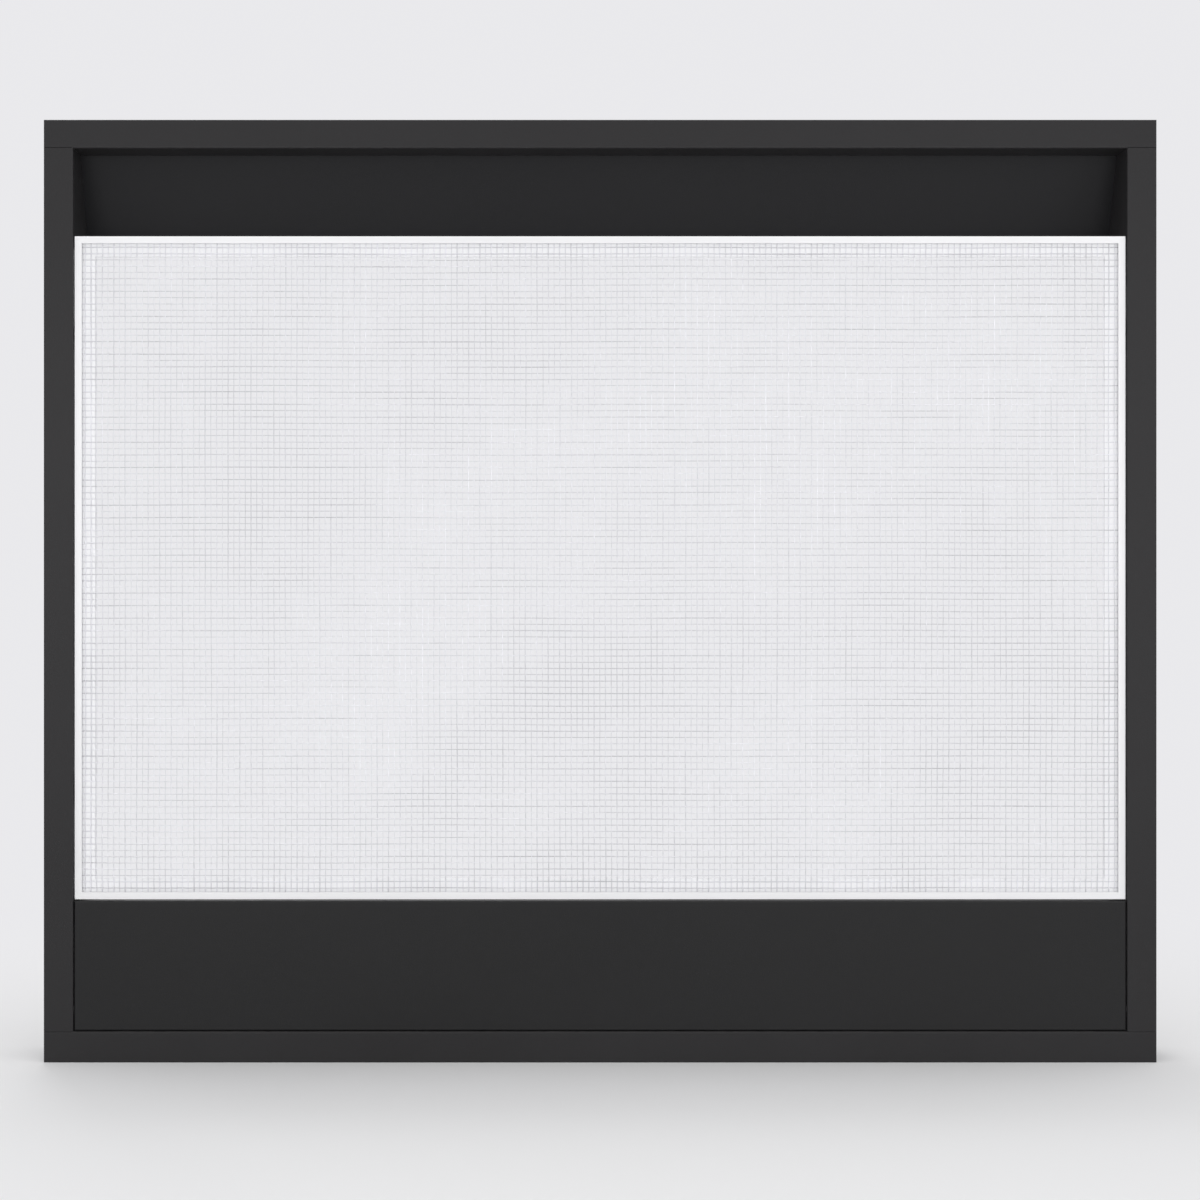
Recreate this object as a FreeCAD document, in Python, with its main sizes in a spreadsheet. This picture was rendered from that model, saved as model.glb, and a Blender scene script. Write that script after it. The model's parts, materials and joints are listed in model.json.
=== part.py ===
import FreeCAD, Part
import os

import Sketcher

# Mesh fireplace front: a folded-steel surround with a lift-off wire screen and a drop-down access door.
# Millimetres, X to the right, Y to the back, Z up. The origin is the bottom centre of the plane that rests
# against the fireplace, so the face of the surround lies at Y = -frame_depth.

DRIVING_SIZES = (
    # Surround
    ("overall_width", 1040, "outside of the surround, left to right"),
    ("overall_height", 881, "outside of the surround, bottom to top"),
    ("frame_depth", 62, "face of the surround to its back plane"),
    ("frame_sheet", 1.5, "sheet of the rails, the stiles, the hood and the mid rail"),
    ("bend_radius", 1.5, "outside radius of the folded front edges"),
    ("stile_face", 27.5, "visible width of a stile"),
    ("top_rail_face", 26.5, "visible height of the top rail"),
    ("bottom_rail_face", 29, "visible height of the bottom rail"),
    ("stile_flange", 20, "rear flange of a stile, turned inwards"),
    ("inner_wall_gap", 4, "back plane to the rear edge of a stile's inner wall"),
    # Fixing to the fireplace
    ("hang_slot_width", 6.5, "slots in the stiles' rear flanges"),
    ("hang_slot_length", 24, "full length of a slot"),
    ("hang_slot_inset", 11, "outside of the surround to the slots' centre line"),
    ("hang_slot_low", 200, "height of the lower slots"),
    ("hang_slot_spacing", 480, "lower slots to upper slots"),
    ("upstand_height", 22, "flange at the back of the bottom rail's shelf"),
    ("upstand_end_gap", 2, "stile to the end of the upstand"),
    ("lower_screw_hole", 5.5, "screw holes in the upstand"),
    ("lower_screw_inset", 52.5, "stile to a screw hole in the upstand"),
    ("lower_screw_height", 12, "shelf to the screw holes"),
    # Air hood
    ("hood_band", 82, "top of the screen to the underside of the top rail"),
    ("hood_top_depth", 30, "face of the surround to the hood's upper edge"),
    ("hood_rear_gap", 4.5, "back plane to the back of the hood's foot"),
    ("hood_foot_rise", 4, "top of the screen to the end of the hood's slope"),
    ("hood_lip", 6, "upright lip under the slope"),
    ("hood_flange", 18, "flange under the top rail"),
    ("hood_rivet_end_gap", 52.5, "stile to the outermost rivets of the hood's flange"),
    ("hood_rivet_count", 5, "rivets along the hood's flange"),
    ("hood_rivet_inset", 7, "back edge of the hood's flange to its rivets"),
    ("cheek_rivet_drop", 22, "top of the hood to the upper rivet of a cheek"),
    ("cheek_rivet_rise", 26, "end of the slope to the lower rivet of a cheek"),
    ("cheek_upper_inset", 8, "back edge of a cheek to its upper rivet"),
    ("cheek_lower_inset", 4, "back edge of a cheek to its lower rivet"),
    # Corner brackets
    ("bracket_sheet", 2, "thickness of a corner bracket"),
    ("bracket_length", 34, "leg along the stile"),
    ("bracket_reach", 18, "leg along the rail"),
    ("bracket_width", 22, "width of both legs"),
    ("bracket_rivet_inset", 5.5, "end of the leg along the rail to its rivet"),
    # Rivets, screws and nuts
    ("rivet_diameter", 3.2, "shank of every rivet"),
    ("rivet_head_diameter", 6.4, "head of every rivet"),
    ("rivet_head_height", 1.1, "head of every rivet"),
    ("rivet_crown_diameter", 3.6, "flat on top of every rivet's head"),
    ("rivet_tail_diameter", 4.8, "closed end of every rivet, at the sheet"),
    ("rivet_tip_diameter", 3.4, "closed end of every rivet, at its tip"),
    ("rivet_tail_height", 2, "closed end of every rivet"),
    ("thread_diameter", 4, "threaded ends of the pins"),
    ("thread_length", 7.5, "stile's inner face to the end of a pin's thread"),
    ("nut_width", 7, "across the flats of a nut"),
    ("nut_height", 3.2, "thickness of a nut"),
    ("fastener_gap", 0.1, "shank to the wall of its hole"),
    # Screen
    ("screen_gap", 1.6, "top of the door to the screen"),
    ("screen_side_gap", 1, "stile to the screen"),
    ("screen_setback", 3, "face of the surround to the face of the screen"),
    ("channel_face", 6.5, "visible width of the edge channels"),
    ("channel_depth", 5.2, "front to back of the edge channels"),
    ("channel_wall", 1, "sheet of the edge channels"),
    ("channel_back", 19, "rear leg of the edge channels, measured in the screen's plane"),
    ("mesh_thickness", 2, "wire cloth, front to back"),
    ("mesh_bar", 1.5, "width of the bars that stand for bundles of wires"),
    ("mesh_border", 4.6, "solid border held in the channels"),
    ("mesh_edge_gap", 0.4, "edge of the wire cloth to the web of its channel"),
    ("mesh_columns", 20, "gaps from left to right"),
    ("mesh_rows", 13, "gaps from bottom to top"),
    ("strip_width", 17, "retaining strips, measured in the screen's plane"),
    ("strip_gap", 0.1, "retaining strip to the channel behind it"),
    ("corner_plate_leg", 46, "leg of a corner plate"),
    ("corner_plate_width", 14, "width of a corner plate's legs"),
    ("corner_plate_sheet", 1.5, "thickness of a corner plate"),
    # Hanging of the screen
    ("hook_sheet", 2, "thickness of a hook"),
    ("hook_drop", 14, "pin centre to the hook's lower end"),
    ("hook_rise", 12, "pin centre to the hook's upper end"),
    ("hook_front", 10, "back of the screen to the pin centre"),
    ("hook_rear", 10, "pin centre to the back of the hook"),
    ("hook_low_offset", 100, "bottom of the screen to the lower pins"),
    ("hook_high_offset", 90, "top of the screen to the upper pins"),
    ("hook_gap", 0.3, "hook's slot to its pin"),
    ("hook_play", 1, "hook to the pin's collar and head"),
    ("hang_pin_diameter", 6, "neck of a hanging pin"),
    ("hang_pin_collar", 1.5, "thickness of the collar and of the head"),
    ("hang_pin_collar_diameter", 10, "collar of a hanging pin"),
    ("hang_pin_head_diameter", 9, "head of a hanging pin"),
    # Access door
    ("door_height", 120.9, "outside of the door, bottom to top"),
    ("door_gap", 0.8, "shelf of the bottom rail to the door"),
    ("door_side_gap", 0.9, "stile to the door"),
    ("door_setback", 1, "face of the surround to the face of the door"),
    ("door_depth", 20, "front to back of the door's pan"),
    ("door_lip", 13, "inward lips at the back of the pan"),
    ("door_sheet", 1.5, "sheet of the door"),
    ("hinge_rise", 20, "bottom of the door to the hinge pins"),
    ("hinge_pin_diameter", 4, "shaft of a hinge pin"),
    ("hinge_pin_reach", 11, "stile to the free end of a hinge pin"),
    ("hinge_collar", 0.5, "thickness of a hinge pin's collar"),
    ("hinge_collar_diameter", 8.6, "collar of a hinge pin"),
    ("running_gap", 0.05, "hinge pin to its bush"),
    ("bush_wall", 0.95, "thickness of a bush's wall"),
    ("bush_length", 5, "side of the door to the inner end of a bush"),
    ("bush_seat_gap", 0.02, "bush to its hole in the door"),
    ("hinge_edge", 0.5, "inner face of the door's sheet to the bush"),
    ("stiffener_sheet", 1.2, "sheet of the hat-shaped stiffener"),
    ("stiffener_crown", 24, "width of the stiffener's crown"),
    ("stiffener_foot", 10, "width of each foot of the stiffener"),
    ("stiffener_height", 13, "front to back of the stiffener"),
    ("stiffener_end_gap", 20, "end of the stiffener to the side of the door"),
    # Mid rail and magnet catches
    ("mid_rail_height", 26, "mid rail, bottom to top"),
    ("mid_rail_depth", 16, "mid rail, front to back"),
    ("mid_rail_drop", 1, "top of the door to the top of the mid rail"),
    ("mid_rail_rivet_spacing", 12, "two rivets at each end"),
    ("mid_rail_rivet_inset", 7, "back edge of the mid rail to its rivets"),
    ("catch_inset", 112.5, "stile to the middle of a catch"),
    ("catch_width", 40, "housing of a catch"),
    ("catch_height", 12, "housing of a catch"),
    ("catch_depth", 12, "housing of a catch"),
    ("catch_ear_length", 12, "screw ear at each end of a housing"),
    ("catch_ear_sheet", 2.5, "thickness of the ears"),
    ("catch_gap", 0.3, "pole plates to the closed door"),
    ("magnet_width", 28, "magnet of a catch"),
    ("magnet_depth", 8, "magnet of a catch"),
    ("magnet_height", 5, "magnet of a catch"),
    ("pole_sheet", 1.5, "plate above and below the magnet"),
    ("pole_proud", 0.6, "plates standing out of the housing"),
    ("catch_pocket_gap", 0.1, "plates to the walls of the housing"),
    ("catch_screw_diameter", 3.5, "screws of the catches"),
    ("catch_screw_head_diameter", 6.6, "head of a catch's screw"),
    ("catch_screw_crown_diameter", 5, "flat on top of the head of a catch's screw"),
    ("catch_screw_head_height", 2, "head of a catch's screw"),
    ("catch_screw_length", 9, "under the head of a catch's screw"),
)

doc = FreeCAD.newDocument("fireplace_front")
sheet = doc.addObject("Spreadsheet::Sheet", "sizes")


class Size:
    """A length that carries its number and the sheet expression that gives it."""

    def __init__(self, number, text):
        self.number = number
        self.text = text

    def __add__(self, other):
        other = as_size(other)
        return Size(self.number + other.number, f"({self.text} + {other.text})")

    def __sub__(self, other):
        other = as_size(other)
        return Size(self.number - other.number, f"({self.text} - {other.text})")

    def __mul__(self, factor):
        factor = as_size(factor)
        return Size(self.number * factor.number, f"({self.text} * {factor.text})")

    def __truediv__(self, divisor):
        divisor = as_size(divisor)
        return Size(self.number / divisor.number, f"({self.text} / {divisor.text})")

    def __neg__(self):
        return self * -1


def as_size(value):
    """Plain numbers become sizes, so that both can be used in one sum."""
    if isinstance(value, Size):
        return value
    return Size(float(value), repr(value))


def fill_sheet():
    """Writes the driving sizes to the sheet and gives them back by name, read from the sheet."""
    for row, (name, value, note) in enumerate(DRIVING_SIZES, 1):
        sheet.set(f"A{row}", name)
        sheet.set(f"B{row}", str(value))
        sheet.setAlias(f"B{row}", name)
        sheet.set(f"C{row}", note)
    doc.recompute()
    return {name: Size(float(sheet.get(name)), f"sizes.{name}") for name, value, note in DRIVING_SIZES}


size = fill_sheet()
ZERO = as_size(0)
# How far a cutting shape runs past the wall that it cuts
PAST = as_size(2)
# An edge nearer to a plane than this lies in it
CLOSE = 0.01

# Levels and planes that several pieces share
outer = size["overall_width"] / 2
inner = outer - size["stile_face"]
wall = size["frame_sheet"]
shelf = size["bottom_rail_face"]
door_low = shelf + size["door_gap"]
door_high = door_low + size["door_height"]
ceiling = size["overall_height"] - size["top_rail_face"]
screen_low = door_high + size["screen_gap"]
screen_high = ceiling - size["hood_band"]
door_side = inner - size["door_side_gap"]
screen_side = inner - size["screen_side_gap"]
hook_heights = {
    "lower": screen_low + size["hook_low_offset"],
    "upper": screen_high - size["hook_high_offset"],
}
SIDES = {"left": -1, "right": 1}


def behind(depth):
    """The Y of a plane that lies depth behind the face of the surround."""
    return as_size(depth) - size["frame_depth"]


hood_foot_depth = size["frame_depth"] - size["hood_rear_gap"] - wall
hood_foot = screen_high + size["hood_foot_rise"]
cheek_rear_depth = size["frame_depth"] - size["inner_wall_gap"]
cheek_rivets = {
    "upper": (behind(cheek_rear_depth - size["cheek_upper_inset"]), ceiling - size["cheek_rivet_drop"]),
    "lower": (behind(cheek_rear_depth - size["cheek_lower_inset"]), hood_foot + size["cheek_rivet_rise"]),
}
bracket_middle = behind(cheek_rear_depth - size["bracket_width"] / 2)
bracket_rivet_height = shelf + size["bracket_length"] / 2
bracket_rivet_side = inner + wall + size["bracket_reach"] - size["bracket_rivet_inset"]
hood_rivet_y = behind(size["hood_top_depth"] + size["hood_flange"] - size["hood_rivet_inset"])

hook_out = inner - size["hang_pin_collar"] - size["hook_play"]
hook_in = hook_out - size["hook_sheet"]
screen_back_depth = size["screen_setback"] + size["channel_depth"]
hang_pin_y = behind(screen_back_depth + size["hook_front"])

bush_radius = size["hinge_pin_diameter"] / 2 + size["running_gap"] + size["bush_wall"]
hinge_y = behind(size["door_setback"] + size["door_sheet"] + size["hinge_edge"] + bush_radius)
hinge_z = door_low + size["hinge_rise"]

door_back_depth = size["door_setback"] + size["door_depth"]
catch_front_depth = door_back_depth + size["catch_gap"] + size["pole_proud"]
mid_rail_front_depth = catch_front_depth + size["catch_depth"]
mid_rail_back_depth = mid_rail_front_depth + size["mid_rail_depth"]
mid_rail_top = door_high - size["mid_rail_drop"]
mid_rail_low = mid_rail_top - size["mid_rail_height"]
mid_rail_middle = mid_rail_top - size["mid_rail_height"] / 2
mid_rail_rivet_y = behind(mid_rail_back_depth - size["mid_rail_rivet_inset"])
mid_rail_rivet_heights = (
    mid_rail_middle - size["mid_rail_rivet_spacing"] / 2,
    mid_rail_middle + size["mid_rail_rivet_spacing"] / 2,
)
catch_middle = mid_rail_top - size["catch_height"] / 2
catch_side = inner - size["catch_inset"]
catch_ear_middle = size["catch_width"] / 2 + size["catch_ear_length"] / 2
pole_height = size["magnet_height"] / 2 + size["pole_sheet"]

rivet_hole = size["rivet_diameter"] + size["fastener_gap"] * 2
thread_hole = size["thread_diameter"] + size["fastener_gap"] * 2
catch_screw_hole = size["catch_screw_diameter"] + size["fastener_gap"] * 2

TURNS = {
    "+x": FreeCAD.Rotation(FreeCAD.Vector(0, 1, 0), 90),
    "-x": FreeCAD.Rotation(FreeCAD.Vector(0, 1, 0), -90),
    "+y": FreeCAD.Rotation(FreeCAD.Vector(1, 0, 0), -90),
    "+z": FreeCAD.Rotation(),
    "-z": FreeCAD.Rotation(FreeCAD.Vector(1, 0, 0), 180),
}
OUTWARD = {"left": "-x", "right": "+x"}
sub_parts = []


def new_object(kind, label, kept=True):
    """A document object with its label. Kept ones are sub-parts of the front."""
    thing = doc.addObject(kind, label)
    thing.Label = label
    if kept:
        sub_parts.append(thing)
    return thing


def new_body(label, kept=True):
    return new_object("PartDesign::Body", label, kept)


def set_base(thing, place, turn="+z"):
    """Turns the thing's own Z axis to the named direction and binds its base point to the sheet."""
    thing.Placement = FreeCAD.Placement(FreeCAD.Vector(), TURNS[turn])
    for axis, value in zip("xyz", place):
        thing.setExpression(f"Placement.Base.{axis}", as_size(value).text)


def box_sizes(box, low, high):
    for side, start, end in zip(("Length", "Width", "Height"), low, high):
        box.setExpression(side, (as_size(end) - start).text)
    set_base(box, low)


def add_block(body, name, low, high):
    """Adds a box between two corners to the body."""
    box_sizes(body.newObject("PartDesign::AdditiveBox", name), low, high)


def cut_block(body, name, low, high):
    """Cuts a box between two corners out of the body."""
    box_sizes(body.newObject("PartDesign::SubtractiveBox", name), low, high)


def plain_box(label, low, high, kept=True):
    """A bar or plate that is a plain box between two corners."""
    box = new_object("Part::Box", label, kept)
    box_sizes(box, low, high)
    return box


def drill(body, name, start, direction, length, diameter):
    """Drills a round hole from the start point."""
    hole = body.newObject("PartDesign::SubtractiveCylinder", name)
    hole.setExpression("Radius", (as_size(diameter) / 2).text)
    hole.setExpression("Height", as_size(length).text)
    set_base(hole, start, direction)


def drill_side_wall(body, name, side, start, thickness, y, z, diameter):
    """Drills along X through a wall of one side, start being its distance from the middle."""
    place = ((start - PAST) * SIDES[side], y, z)
    drill(body, name, place, OUTWARD[side], thickness + PAST * 2, diameter)


def outline(body, plane, corners, offset=ZERO):
    """A closed sketch through the corners, each held by its two coordinates, offset from its plane."""
    sketch = body.newObject("Sketcher::SketchObject", "outline")
    support = [item for item in body.Origin.OriginFeatures if item.Role == plane][0]
    sketch.AttachmentSupport = (support, [""])
    sketch.MapMode = "FlatFace"
    sketch.setExpression("AttachmentOffset.Base.z", as_size(offset).text)
    corners = [(as_size(across), as_size(up)) for across, up in corners]
    points = [FreeCAD.Vector(across.number, up.number, 0) for across, up in corners]
    for start, end in zip(points, points[1:] + points[:1]):
        sketch.addGeometry(Part.LineSegment(start, end))
    for index, (across, up) in enumerate(corners):
        following = (index + 1) % len(corners)
        sketch.addConstraint(Sketcher.Constraint("Coincident", index, 2, following, 1))
        for kind, value in (("DistanceX", across), ("DistanceY", up)):
            datum = sketch.addConstraint(Sketcher.Constraint(kind, index, 1, value.number))
            sketch.renameConstraint(datum, f"{kind}_{index}")
            sketch.setExpression(f"Constraints.{kind}_{index}", value.text)
    return sketch


def pad(body, name, sketch, length, symmetric=False):
    """Pads the sketch along its normal, or to both sides of its plane."""
    feature = body.newObject("PartDesign::Pad", name)
    feature.Profile = sketch
    if symmetric:
        feature.SideType = "Symmetric"
    feature.setExpression("Length", as_size(length).text)


def bend_edges(body, name, is_bent):
    """Rounds the picked edges of the body as the outside of a fold."""
    doc.recompute()
    base = body.Tip
    names = [f"Edge{index}" for index, edge in enumerate(base.Shape.Edges, 1) if is_bent(edge)]
    fillet = body.newObject("PartDesign::Fillet", name)
    fillet.Base = (base, names)
    fillet.setExpression("Radius", size["bend_radius"].text)


def in_plane_y(y):
    """Tells whether an edge lies in the plane at this Y."""
    return lambda edge: edge.BoundBox.YLength < CLOSE and abs(edge.BoundBox.YMin - y.number) < CLOSE


def turned(label, profile, kept=True):
    """A turned piece about its own Z axis, from a half outline of (radius, height) corners."""
    body = new_body(label, kept)
    sketch = outline(body, "XZ_Plane", profile)
    turn = body.newObject("PartDesign::Revolution", "turn")
    turn.Profile = sketch
    turn.ReferenceAxis = (sketch, ["V_Axis"])
    turn.Angle = 360
    return body


def group(label, pattern, places):
    """One node of separate copies of a pattern piece, each at a place and turned to a direction."""
    copies = []
    for index, (place, direction) in enumerate(places, 1):
        copy = new_object("App::Link", f"{label}_copy_{index}", kept=False)
        copy.LinkedObject = pattern
        set_base(copy, place, direction)
        copies.append(copy)
    new_object("Part::Compound", label).Links = copies


def rail_pan(label, low, high):
    """A rail folded as a shallow pan, open at the back."""
    body = new_body(label)
    face = behind(0)
    add_block(body, "blank", (-outer, face, low), (outer, ZERO, high))
    bend_edges(body, "folds", in_plane_y(face))
    cut_block(body, "hollow", (wall - outer, face + wall, low + wall), (outer - wall, PAST, high - wall))
    return body


def drill_bracket_holes(body, low):
    """The rivet holes of the two corner brackets, through the wall that starts at the height low."""
    for side, sign in SIDES.items():
        place = (bracket_rivet_side * sign, bracket_middle, low - PAST)
        drill(body, f"{side}_bracket_hole", place, "+z", wall + PAST * 2, rivet_hole)


def hood_rivet_places():
    """The X of each rivet along the hood's flange, spread evenly between the outermost ones."""
    count = int(size["hood_rivet_count"].number)
    end = inner - size["hood_rivet_end_gap"]
    return [end * (2 * index / (count - 1) - 1) for index in range(count)]


def make_top_rail():
    body = rail_pan("top_rail", ceiling, size["overall_height"])
    drill_bracket_holes(body, ceiling)
    for index, x in enumerate(hood_rivet_places()):
        place = (x, hood_rivet_y, ceiling - PAST)
        drill(body, f"hood_hole_{index}", place, "+z", wall + PAST * 2, rivet_hole)


def make_bottom_rail():
    """The bottom rail, with an upstand at the back of its shelf for the two lower screws."""
    body = rail_pan("bottom_rail", ZERO, shelf)
    end = inner - size["upstand_end_gap"]
    add_block(body, "upstand", (-end, -wall, shelf - wall), (end, ZERO, shelf + size["upstand_height"]))
    drill_bracket_holes(body, shelf - wall)
    height = shelf + size["lower_screw_height"]
    for side, sign in SIDES.items():
        place = ((inner - size["lower_screw_inset"]) * sign, -wall - PAST, height)
        drill(body, f"{side}_screw_hole", place, "+y", wall + PAST * 2, size["lower_screw_hole"])


def cut_hang_slot(body, name, x, z):
    """An upright slot with round ends, through the rear flange of a stile."""
    half = size["hang_slot_width"] / 2
    run = (size["hang_slot_length"] - size["hang_slot_width"]) / 2
    cut_block(body, name, (x - half, -wall - PAST, z - run), (x + half, PAST, z + run))
    for end, height in (("low", z - run), ("high", z + run)):
        place = (x, -wall - PAST, height)
        drill(body, f"{name}_{end}_end", place, "+y", wall + PAST * 2, size["hang_slot_width"])


def make_stile(side):
    """A stile folded as a channel: face, outer wall with a rear flange, inner wall open to the back."""
    sign = SIDES[side]
    body = new_body(f"{side}_stile")
    face = behind(0)
    inner_end = -size["inner_wall_gap"]
    flange_end = outer - size["stile_flange"]
    section = (
        (outer, ZERO), (outer, face), (inner, face), (inner, inner_end), (inner + wall, inner_end),
        (inner + wall, face + wall), (outer - wall, face + wall), (outer - wall, -wall),
        (flange_end, -wall), (flange_end, ZERO),
    )
    sketch = outline(body, "XY_Plane", [(x * sign, y) for x, y in section], shelf)
    pad(body, "length", sketch, ceiling - shelf)
    on_face = in_plane_y(face)
    bend_edges(body, "folds", lambda edge: on_face(edge) and edge.BoundBox.ZLength > edge.BoundBox.XLength)
    slot_x = (outer - size["hang_slot_inset"]) * sign
    slot_low = size["hang_slot_low"]
    for name, z in (("lower", slot_low), ("upper", slot_low + size["hang_slot_spacing"])):
        cut_hang_slot(body, f"{name}_hang_slot", slot_x, z)
    holes = [(f"{name}_hang_pin", hang_pin_y, z, thread_hole) for name, z in hook_heights.items()]
    holes += [(f"{name}_cheek_rivet", y, z, rivet_hole) for name, (y, z) in cheek_rivets.items()]
    holes += [("mid_rail_rivet", mid_rail_rivet_y, z, rivet_hole) for z in mid_rail_rivet_heights]
    holes += [
        ("bracket_rivet", bracket_middle, bracket_rivet_height, rivet_hole),
        ("hinge_pin", hinge_y, hinge_z, thread_hole),
    ]
    for name, y, z, diameter in holes:
        drill_side_wall(body, f"{name}_hole", side, inner, wall, y, z, diameter)


def make_mid_rail():
    """The cross member behind the joint of screen and door, a pan open at the back."""
    body = new_body("mid_rail")
    front = behind(mid_rail_front_depth)
    back = behind(mid_rail_back_depth)
    add_block(body, "blank", (-inner, front, mid_rail_low), (inner, back, mid_rail_top))
    low = (wall - inner, front + wall, mid_rail_low + wall)
    cut_block(body, "hollow", low, (inner - wall, back + PAST, mid_rail_top - wall))
    for side, sign in SIDES.items():
        for z in mid_rail_rivet_heights:
            name = f"{side}_rivet_hole"
            drill_side_wall(body, name, side, inner - wall, wall, mid_rail_rivet_y, z, rivet_hole)
        for ear in (-1, 1):
            x = catch_side * sign + catch_ear_middle * ear
            place = (x, front - PAST, catch_middle)
            drill(body, f"{side}_catch_hole", place, "+y", wall + PAST * 2, catch_screw_hole)


def make_air_hood():
    """The sloped sheet of the air outlet, with a flange under the top rail, a lip and two cheeks."""
    body = new_body("air_hood")
    top = behind(size["hood_top_depth"])
    foot = behind(hood_foot_depth)
    flange = top + size["hood_flange"]
    lip = hood_foot - size["hood_lip"]
    section = (
        (top, ceiling), (foot, hood_foot), (foot, lip), (foot + wall, lip), (foot + wall, hood_foot),
        (top + wall, ceiling - wall), (flange, ceiling - wall), (flange, ceiling),
    )
    pad(body, "slope", outline(body, "YZ_Plane", section), inner * 2, symmetric=True)
    back = behind(cheek_rear_depth)
    cheek = ((top, ceiling), (foot, hood_foot), (back, hood_foot), (back, ceiling))
    for side, start in (("left", -inner), ("right", inner - wall)):
        pad(body, f"{side}_cheek", outline(body, "YZ_Plane", cheek, start), wall)
    for index, x in enumerate(hood_rivet_places()):
        place = (x, hood_rivet_y, ceiling - wall - PAST)
        drill(body, f"flange_hole_{index}", place, "+z", wall + PAST * 2, rivet_hole)
    for side in SIDES:
        for name, (y, z) in cheek_rivets.items():
            drill_side_wall(body, f"{side}_{name}_hole", side, inner - wall, wall, y, z, rivet_hole)


def make_corner_bracket(level, side):
    """An angle inside the stile's end: one leg on its inner wall, one on the rail."""
    body = new_body(f"{level}_{side}_corner_bracket")
    sign = SIDES[side]
    seat, up = (shelf, 1) if level == "bottom" else (ceiling, -1)
    thick = size["bracket_sheet"]
    start = inner + wall
    section = (
        (start, ZERO), (start + size["bracket_reach"], ZERO), (start + size["bracket_reach"], thick),
        (start + thick, thick), (start + thick, size["bracket_length"]), (start, size["bracket_length"]),
    )
    corners = [(x * sign, seat + z * up) for x, z in section]
    rear = -behind(cheek_rear_depth)
    pad(body, "angle", outline(body, "XZ_Plane", corners, rear), size["bracket_width"])
    y, z = (bracket_middle, bracket_rivet_height) if level == "bottom" else cheek_rivets["upper"]
    drill_side_wall(body, "stile_rivet_hole", side, start, thick, y, z, rivet_hole)
    foot = (bracket_rivet_side * sign, bracket_middle, seat - PAST * up)
    drill(body, "rail_rivet_hole", foot, "+z" if up > 0 else "-z", thick + PAST * 2, rivet_hole)


def rivet_pattern(name, grip):
    """A set rivet along +Z: its head below zero, its closed end above the grip."""
    head = size["rivet_head_diameter"] / 2
    shank = size["rivet_diameter"] / 2
    crown = size["rivet_crown_diameter"] / 2
    tail = size["rivet_tail_diameter"] / 2
    tip = size["rivet_tip_diameter"] / 2
    end = grip + size["rivet_tail_height"]
    top = -size["rivet_head_height"]
    profile = (
        (ZERO, top), (crown, top), (head, ZERO), (shank, ZERO), (shank, grip),
        (tail, grip), (tip, end), (ZERO, end),
    )
    return turned(name, profile, kept=False)


def make_rivets():
    """The rivets of the frame, one group for each thickness that they hold together."""
    thick = size["bracket_sheet"]
    double = rivet_pattern("double_sheet_rivet", wall * 2)
    bracket = rivet_pattern("bracket_rivet", wall + thick)
    cheek = rivet_pattern("cheek_rivet", wall * 2 + thick)
    places = {"mid_rail_rivets": [], "bracket_rivets": [], "hood_corner_rivets": [], "hood_rivets": []}
    for side, sign in SIDES.items():
        head = (inner - wall) * sign
        out = OUTWARD[side]
        for z in mid_rail_rivet_heights:
            places["mid_rail_rivets"].append(((head, mid_rail_rivet_y, z), out))
        places["hood_rivets"].append(((head, *cheek_rivets["lower"]), out))
        places["hood_corner_rivets"].append(((head, *cheek_rivets["upper"]), out))
        places["bracket_rivets"].append(((inner * sign, bracket_middle, bracket_rivet_height), out))
        x = bracket_rivet_side * sign
        places["bracket_rivets"].append(((x, bracket_middle, shelf + thick), "-z"))
        places["bracket_rivets"].append(((x, bracket_middle, ceiling - thick), "+z"))
    for x in hood_rivet_places():
        places["hood_rivets"].append(((x, hood_rivet_y, ceiling - wall), "+z"))
    group("mid_rail_rivets", double, places["mid_rail_rivets"])
    group("hood_rivets", double, places["hood_rivets"])
    group("hood_corner_rivets", cheek, places["hood_corner_rivets"])
    group("bracket_rivets", bracket, places["bracket_rivets"])


def nut_pattern():
    """A hexagon nut along +Z, with its bore on the thread."""
    body = new_body("nut_pattern", kept=False)
    prism = body.newObject("PartDesign::AdditivePrism", "hexagon")
    prism.Polygon = 6
    prism.setExpression("Circumradius", f"{size['nut_width'].text} / sqrt(3)")
    prism.setExpression("Height", size["nut_height"].text)
    bore = size["thread_diameter"] + size["bush_seat_gap"] * 2
    drill(body, "bore", (ZERO, ZERO, -PAST), "+z", size["nut_height"] + PAST * 2, bore)
    return body


def make_hang_pins(nut):
    """The four shoulder pins that carry the screen, and their nuts inside the stiles."""
    thread = size["thread_diameter"] / 2
    neck = size["hang_pin_diameter"] / 2
    collar = size["hang_pin_collar_diameter"] / 2
    head = size["hang_pin_head_diameter"] / 2
    shoulder = -size["hang_pin_collar"]
    head_start = hook_in - size["hook_play"] - inner
    head_end = head_start - size["hang_pin_collar"]
    profile = (
        (ZERO, head_end), (head, head_end), (head, head_start), (neck, head_start), (neck, shoulder),
        (collar, shoulder), (collar, ZERO), (thread, ZERO), (thread, size["thread_length"]),
        (ZERO, size["thread_length"]),
    )
    pin = turned("hang_pin_pattern", profile, kept=False)
    spots = [(side, z) for side in SIDES for z in hook_heights.values()]
    pins = [((inner * SIDES[side], hang_pin_y, z), OUTWARD[side]) for side, z in spots]
    nuts = [(((inner + wall) * SIDES[side], hang_pin_y, z), OUTWARD[side]) for side, z in spots]
    group("screen_hang_pins", pin, pins)
    group("hang_pin_nuts", nut, nuts)


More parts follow.
